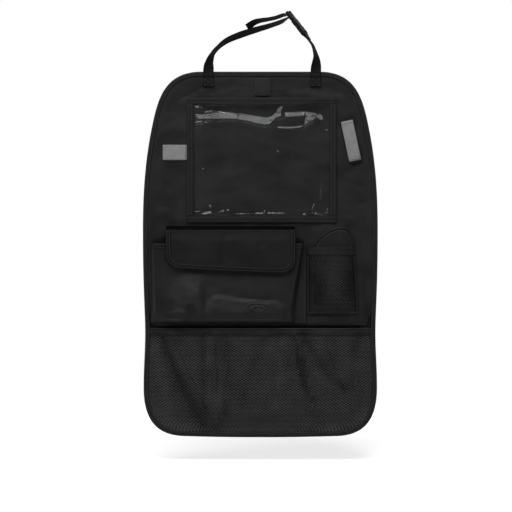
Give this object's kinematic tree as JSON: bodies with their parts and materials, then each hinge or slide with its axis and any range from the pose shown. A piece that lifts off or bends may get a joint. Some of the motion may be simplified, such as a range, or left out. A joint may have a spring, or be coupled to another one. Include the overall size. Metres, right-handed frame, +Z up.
{
  "type": "car seat back organizer",
  "caption": "Cloth panel that hangs on headrest posts, with a clear tablet pocket, a flap pocket, a net bottle pocket and a net foot pocket.",
  "frame": {"origin": "middle of the panel's top edge, on the panel's back face", "axes": "+Z up as it hangs, -Y out of the front towards the passenger, +X to the right seen from the front"},
  "size_m": [0.446, 0.0287, 0.8092],
  "materials": {
    "panel_cloth": "matt coated polyester weave",
    "pocket_cloth": "matt coated polyester weave",
    "binding_tape": "ribbed polyester tape with two rows of stitches",
    "elastic_band": "ribbed elastic",
    "net_cord": "knitted polyester net",
    "webbing": "polypropylene webbing with a slight sheen",
    "grey_tape": "brushed loop tape",
    "clear_film": "clear soft vinyl film",
    "buckle_plastic": "moulded acetal"
  },
  "bodies": {
    "root": {"back_panel": "panel_cloth", "edge_binding": "binding_tape", "label_patch": "binding_tape", "tablet_window": "clear_film", "tablet_tape_top": "binding_tape", "tablet_tape_bottom": "binding_tape", "tablet_tape_left": "binding_tape", "tablet_tape_right": "binding_tape", "cable_strap_left": "grey_tape", "cable_strap_right": "grey_tape", "cable_strap_right_backing": "binding_tape", "flap_pocket_body": "pocket_cloth", "flap_pocket_hem": "binding_tape", "pocket_flap": "pocket_cloth", "flap_binding": "binding_tape", "flap_hook_patch": "binding_tape", "flap_loop_patch": "binding_tape", "bottle_pocket_back": "pocket_cloth", "bottle_pocket_mesh": "net_cord", "bottle_pocket_hem": "elastic_band", "mesh_pocket_net": "net_cord", "mesh_pocket_hem": "elastic_band", "strap_left": "webbing", "strap_right": "webbing", "buckle_plug": "buckle_plastic", "buckle_socket": "buckle_plastic"}
  },
  "joints": []
}
